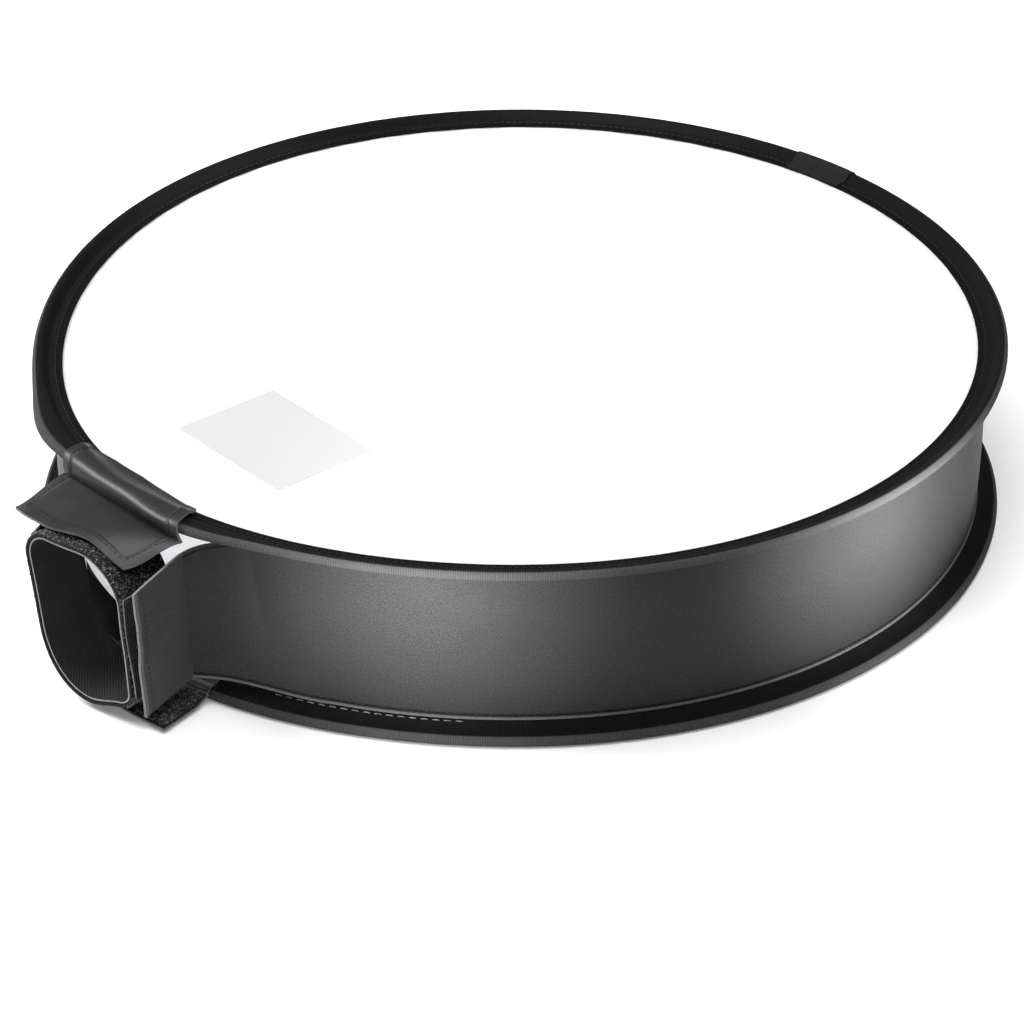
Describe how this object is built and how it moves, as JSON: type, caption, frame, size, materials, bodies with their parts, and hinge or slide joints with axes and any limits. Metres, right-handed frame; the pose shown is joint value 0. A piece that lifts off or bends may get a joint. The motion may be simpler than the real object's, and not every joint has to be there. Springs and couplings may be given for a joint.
{
  "type": "collapsible flash diffuser",
  "caption": "Drum-shaped folding flash diffuser: sprung hoops carry a white diffuser, a cloth wall and a black rear panel, with a strap sleeve for a flash head.",
  "frame": {"origin": "centre of the rear panel's outside face, on the drum's axis", "axes": "+Z out through the diffuser, -Y towards the sleeve that the flash head goes into, +X completes a right-handed frame"},
  "size_m": [0.4, 0.4484, 0.0809],
  "materials": {
    "binding_tape": "woven grosgrain binding",
    "shell_cloth": "charcoal coated nylon",
    "black_cloth": "matt black nylon",
    "silver_cloth": "silver coated nylon",
    "diffuser_cloth": "white diffusing nylon",
    "label_cloth": "plain satin patch",
    "spring_steel": "bright spring wire",
    "leatherette": "soft satin leatherette",
    "strap_foam": "ribbed foam lining",
    "loop_pile": "curled loop pile",
    "hook_tape": "moulded hook tape"
  },
  "bodies": {
    "rear_frame": {"rear_hoop_wire": "spring_steel", "rear_hoop_ferrule": "spring_steel", "rear_rim_binding": "binding_tape", "rear_binding_lap": "binding_tape", "rear_panel": "black_cloth", "rear_reflector": "silver_cloth", "side_wall": "shell_cloth", "side_wall_lining": "silver_cloth", "bottom_flap_rim_wrap": "leatherette"},
    "front_frame": {"front_hoop_wire": "spring_steel", "front_hoop_ferrule": "spring_steel", "front_rim_binding": "binding_tape", "front_binding_lap": "binding_tape", "front_diffuser": "diffuser_cloth", "blank_label": "label_cloth", "top_flap_rim_wrap": "leatherette"},
    "top_flap": {"top_flap": "leatherette", "top_flap_hook_pad": "hook_tape"},
    "bottom_flap": {"bottom_flap": "leatherette", "bottom_flap_loop_pad": "loop_pile"},
    "left_wing": {"left_wing": "shell_cloth", "left_wing_hook_pad": "hook_tape"},
    "right_wing": {"right_wing": "shell_cloth", "right_wing_hook_pad": "hook_tape"},
    "strap": {"strap_lining": "strap_foam", "strap_pile": "loop_pile", "strap_hook_end": "hook_tape"}
  },
  "joints": [
    {"name": "drum_collapse", "type": "slide", "parent": "rear_frame", "child": "front_frame", "axis": [0, 0, -1], "range_m": [0, 0.06], "stiffness_N_per_m": 80, "springref_m": -0.04, "deforming": ["side_wall", "side_wall_lining", "top_flap", "top_flap_hook_pad"]},
    {"name": "top_flap_lift", "type": "hinge", "parent": "front_frame", "child": "top_flap", "pos_m": [-0.003, -0.2137, 0.068], "axis": [-1, 0, 0], "range_deg": [0, 95]},
    {"name": "bottom_flap_drop", "type": "hinge", "parent": "rear_frame", "child": "bottom_flap", "pos_m": [0.008, -0.2137, -0.0034], "axis": [1, 0, 0], "range_deg": [0, 95]},
    {"name": "left_wing_open", "type": "hinge", "parent": "rear_frame", "child": "left_wing", "pos_m": [-0.02534, -0.22095, 0.0335], "axis": [0.1573, 0.0204, -0.9873], "range_deg": [0, 95]},
    {"name": "right_wing_open", "type": "hinge", "parent": "rear_frame", "child": "right_wing", "pos_m": [0.03354, -0.21331, 0.0335], "axis": [-0.0713, -0.0093, 0.9974], "range_deg": [0, 95]},
    {"name": "strap_pull_off", "type": "slide", "parent": "rear_frame", "child": "strap", "axis": [0.1288, -0.9917, 0], "range_m": [0, 0.06]}
  ]
}
